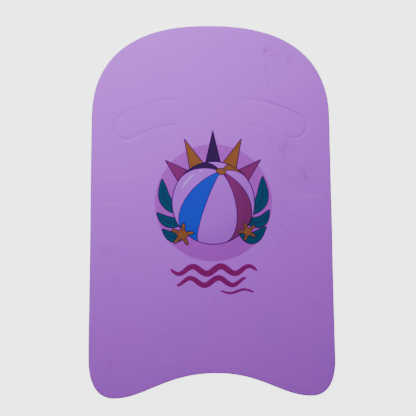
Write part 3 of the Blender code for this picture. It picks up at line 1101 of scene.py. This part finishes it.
# Starfish in front of the ball: centre from the badge's and radius in millimetres, and turn in degrees.
STARFISH = (("left", (-38, -38), 14.0, 8), ("right", (41, -35), 11.5, -20))
STAR_ARMS = 5
STAR_ARM = ((-8, 0.90), (0, 1.0), (8, 0.90), (36, 0.42))  # degrees from its middle, and share of the radius
STAR_SPINE = (0.16, 0.68)  # the ends of its line, as shares of the radius
star_lines = []
for word, (cx, cy), radius, turned in STARFISH:
    knots = []
    for arm in range(STAR_ARMS):
        for degrees, share in STAR_ARM:
            a = math.radians(turned + 360 / STAR_ARMS * arm + degrees)
            knots.append((cx + radius * share * math.sin(a), cy + radius * share * math.cos(a)))
    outline = smooth_line(knots, LINE_STEP, closed=True)
    add_print(film("print_star_" + word, outline, STARS, inks["amber"], 2.4 * MM))
    star_lines.append((outline, OUTLINE_WIDTH, True, 0.0))
    for arm in range(STAR_ARMS):
        a = math.radians(turned + 360 / STAR_ARMS * arm)
        ends = [(cx + radius * r * math.sin(a), cy + radius * r * math.cos(a)) for r in STAR_SPINE]
        spine = resample(np.array(ends) * MM + BADGE, FINE_LINE, closed=False)
        star_lines.append((spine, FINE_LINE, False, 0.4))
add_print(ribbons("print_star_lines", star_lines, STAR_LINES, inks["line"]))

for name, middle, length, height, half_width in WAVES:
    t = np.linspace(0, 1, 97)
    along = (t - 0.5) * length
    rise = height * np.sin(2 * math.pi * along / WAVE_PITCH)
    slope = height * 2 * math.pi / WAVE_PITCH * np.cos(2 * math.pi * along / WAVE_PITCH)
    half = WAVE_TIP_HALF_WIDTH + (half_width - WAVE_TIP_HALF_WIDTH) * np.sin(math.pi * t).clip(0) ** 0.45
    across = half / np.hypot(1, slope)
    line = np.column_stack([middle[0] + along, middle[1] + rise])
    normal = np.column_stack([-slope, np.ones(len(t))]) * across[:, None]
    loop = np.vstack([line + normal, (line - normal)[::-1]])
    stroke = film("print_" + name, resample(loop, LINE_STEP), FLAT, inks["stroke"], SMALL_FILM_STEP)
    add_print(stroke, "printed_" + name, slot_name="print_magenta")


# ---- stage, lamps and camera


BACKDROP = (4.07, 4.25, 4.11)
FLOOR_COLOUR = (0.75, 0.75, 0.75)
FLOOR_GLOW = 0.88  # how much of the floor is seen as the even backdrop
FLOOR_HALF_SIZE = 6.0
FLOOR_HEIGHT = -0.0004


def floor_material():
    """A plain floor that the camera sees mostly as an even pale backdrop."""
    n = Nodes("pale floor")
    n.give(n.shader, Base_Color=rgb(FLOOR_COLOUR), Roughness=0.9, Specular_IOR_Level=0.0)
    glow = n.add("Emission")
    n.give(glow, Color=rgb(BACKDROP), Strength=1.0)
    share = n.math("MULTIPLY", n.add("LightPath").outputs["Is Camera Ray"], FLOOR_GLOW)
    surface = n.fill(n.add("MixShader"), share, n.shader.outputs[0], glow.outputs[0])
    n.give(n.tree.nodes["Material Output"], Surface=surface)
    return n.material


corners = [(x * FLOOR_HALF_SIZE, y * FLOOR_HALF_SIZE, FLOOR_HEIGHT)
           for x, y in ((-1, -1), (1, -1), (1, 1), (-1, 1))]
floor = new_object("floor", corners, [(0, 1, 2, 3)], floor_material())

world = bpy.data.worlds.new("studio")
bpy.context.scene.world = world
world.use_nodes = True
tree = world.node_tree
sky = tree.nodes["Background"]
sky.inputs["Color"].default_value = rgb((0.95, 0.97, 1.0))
sky.inputs["Strength"].default_value = 0.10
path = tree.nodes.new("ShaderNodeLightPath")
shown = tree.nodes.new("ShaderNodeBackground")
shown.inputs["Color"].default_value = rgb(BACKDROP)
mixer = tree.nodes.new("ShaderNodeMixShader")
for socket, source in zip(mixer.inputs, (path.outputs["Is Camera Ray"], sky.outputs[0], shown.outputs[0])):
    tree.links.new(source, socket)
tree.links.new(mixer.outputs[0], tree.nodes["World Output"].inputs["Surface"])


def area_lamp(name, place, target, size, power, missed_by):
    """A white lamp with sides of these lengths, missed by the camera and by one more kind of ray."""
    lamp = bpy.data.lights.new(name, "AREA")
    lamp.shape = "RECTANGLE"
    lamp.size, lamp.size_y = size
    lamp.energy = power
    obj = bpy.data.objects.new(name, lamp)
    obj.location = place
    obj.rotation_euler = (Vector(target) - Vector(place)).to_track_quat("-Z", "Y").to_euler()
    obj.visible_camera = False
    setattr(obj, "visible_" + missed_by, False)
    bpy.context.scene.collection.objects.link(obj)


# Two softboxes beyond the nose and the left side light the foam, and the ceiling is only mirrored in it.
CENTRE = (0.0, 0.0, 0.0)
for lamp in (
    ("nose softbox", (-0.041, 0.455, 0.450), CENTRE, (0.36, 0.36), 4.10, "glossy"),
    ("side softbox", (-0.380, 0.235, 0.450), CENTRE, (0.36, 0.36), 2.03, "glossy"),
    ("low fill", (0.80, -0.95, 0.07), (0.0, 0.0, 0.03), (1.2, 0.10), 5.0, "glossy"),
    ("pale ceiling", (0.0, 0.0, 4.2), CENTRE, (8.0, 8.0), 290.0, "diffuse"),
):
    area_lamp(*lamp)

PICTURE_WIDTH = 0.5032  # at the height of the board's face
CAMERA_PLACE = (-0.00336, 0.00488, 3.2)
CAMERA_TURN = math.radians(-0.53)
SENSOR_WIDTH = 36.0
camera_data = bpy.data.cameras.new("camera")
camera_data.sensor_width = SENSOR_WIDTH
camera_data.lens = SENSOR_WIDTH * (CAMERA_PLACE[2] - TOP) / PICTURE_WIDTH
camera_data.clip_start = 0.05
camera_data.clip_end = 50.0
camera = bpy.data.objects.new("camera", camera_data)
camera.location = CAMERA_PLACE
camera.rotation_euler = (0.0, 0.0, CAMERA_TURN)
bpy.context.scene.collection.objects.link(camera)
bpy.context.scene.camera = camera
